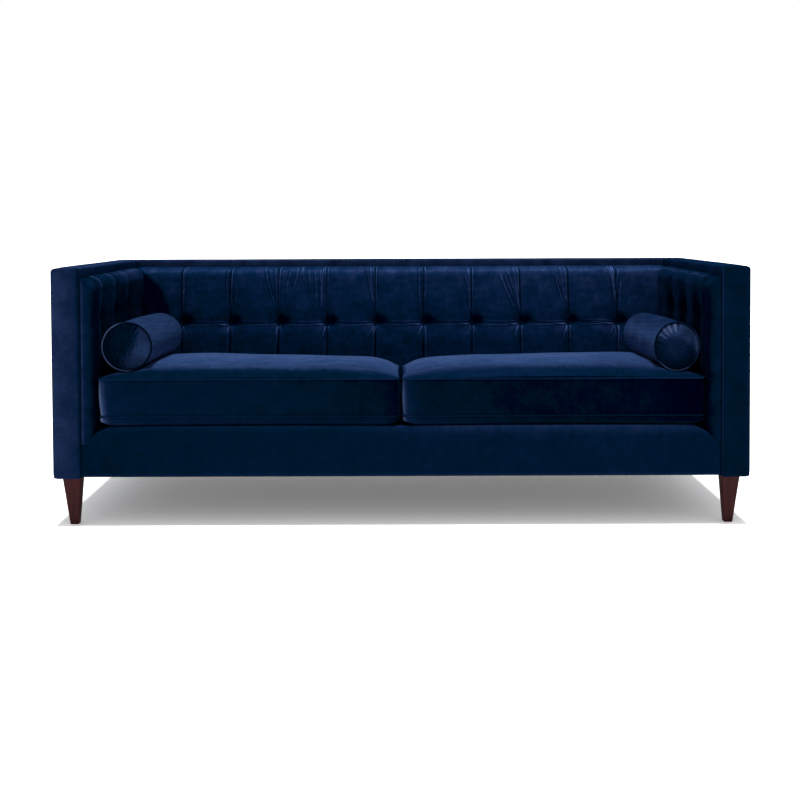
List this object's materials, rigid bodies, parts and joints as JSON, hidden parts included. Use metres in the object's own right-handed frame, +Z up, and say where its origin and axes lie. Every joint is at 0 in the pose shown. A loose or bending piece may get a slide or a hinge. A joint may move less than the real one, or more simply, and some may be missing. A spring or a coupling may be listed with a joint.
{
  "type": "tuxedo sofa",
  "caption": "Tuxedo sofa with level arms and back, tufted inside pads, loose seat cushions and bolsters that lift off, and square tapered legs.",
  "frame": {"origin": "on the floor under the middle of the sofa, the bottom centre of its bounding box", "axes": "+X to the viewer's right when facing the front, +Y from the front to the back, +Z up"},
  "size_m": [2.134, 0.864, 0.787],
  "materials": {
    "velvet": "navy velvet with a short pile",
    "dark_wood": "mahogany stain under a satin lacquer",
    "hardwood": "bare sawn hardwood",
    "spring_steel": "oiled spring wire",
    "foam": "matt upholstery foam",
    "fibre_fill": "matt fibre filling",
    "jute": "plain woven burlap",
    "cambric": "thin black dust cover cloth"
  },
  "bodies": {
    "sofa": {"arm_casing_left": "velvet", "arm_casing_right": "velvet", "back_casing": "velvet", "front_rail_casing": "velvet", "front_post_left": "hardwood", "front_post_right": "hardwood", "back_post_left": "hardwood", "back_post_right": "hardwood", "arm_top_rail_left": "hardwood", "arm_top_rail_right": "hardwood", "side_rail_left": "hardwood", "side_rail_right": "hardwood", "front_rail": "hardwood", "seat_back_rail": "hardwood", "back_rail": "hardwood", "back_top_rail": "hardwood", "seat_stretcher": "hardwood", "back_slat_left": "hardwood", "back_slat_centre": "hardwood", "back_slat_right": "hardwood", "leg_front_left": "dark_wood", "leg_front_right": "dark_wood", "leg_back_left": "dark_wood", "leg_back_right": "dark_wood", "leg_bolt_front_left": "spring_steel", "leg_bolt_front_right": "spring_steel", "leg_bolt_back_left": "spring_steel", "leg_bolt_back_right": "spring_steel", "seat_springs_left": "spring_steel", "seat_springs_right": "spring_steel", "seat_deck": "velvet", "back_burlap": "jute", "dust_cover": "cambric", "back_pad": "velvet", "back_button_1": "velvet", "back_button_2": "velvet", "back_button_3": "velvet", "back_button_4": "velvet", "back_button_5": "velvet", "back_button_6": "velvet", "back_button_7": "velvet", "back_button_8": "velvet", "back_button_9": "velvet", "back_button_10": "velvet", "arm_pad_left": "velvet", "arm_pad_right": "velvet", "arm_button_1_left": "velvet", "arm_button_2_left": "velvet", "arm_button_3_left": "velvet", "arm_button_1_right": "velvet", "arm_button_2_right": "velvet", "arm_button_3_right": "velvet"},
    "seat_cushion_left": {"seat_cushion_cover_left": "velvet", "seat_cushion_foam_left": "foam"},
    "seat_cushion_right": {"seat_cushion_cover_right": "velvet", "seat_cushion_foam_right": "foam"},
    "bolster_left": {"bolster_cover_left": "velvet", "bolster_filling_left": "fibre_fill"},
    "bolster_right": {"bolster_cover_right": "velvet", "bolster_filling_right": "fibre_fill"}
  },
  "joints": [
    {"name": "seat_cushion_left_lift", "type": "slide", "parent": "sofa", "child": "seat_cushion_left", "axis": [0, 0, 1], "range_m": [0, 0.5]},
    {"name": "seat_cushion_right_lift", "type": "slide", "parent": "sofa", "child": "seat_cushion_right", "axis": [0, 0, 1], "range_m": [0, 0.5]},
    {"name": "bolster_left_lift", "type": "slide", "parent": "seat_cushion_left", "child": "bolster_left", "axis": [0, 0, 1], "range_m": [0, 0.34]},
    {"name": "bolster_right_lift", "type": "slide", "parent": "seat_cushion_right", "child": "bolster_right", "axis": [0, 0, 1], "range_m": [0, 0.34]}
  ]
}
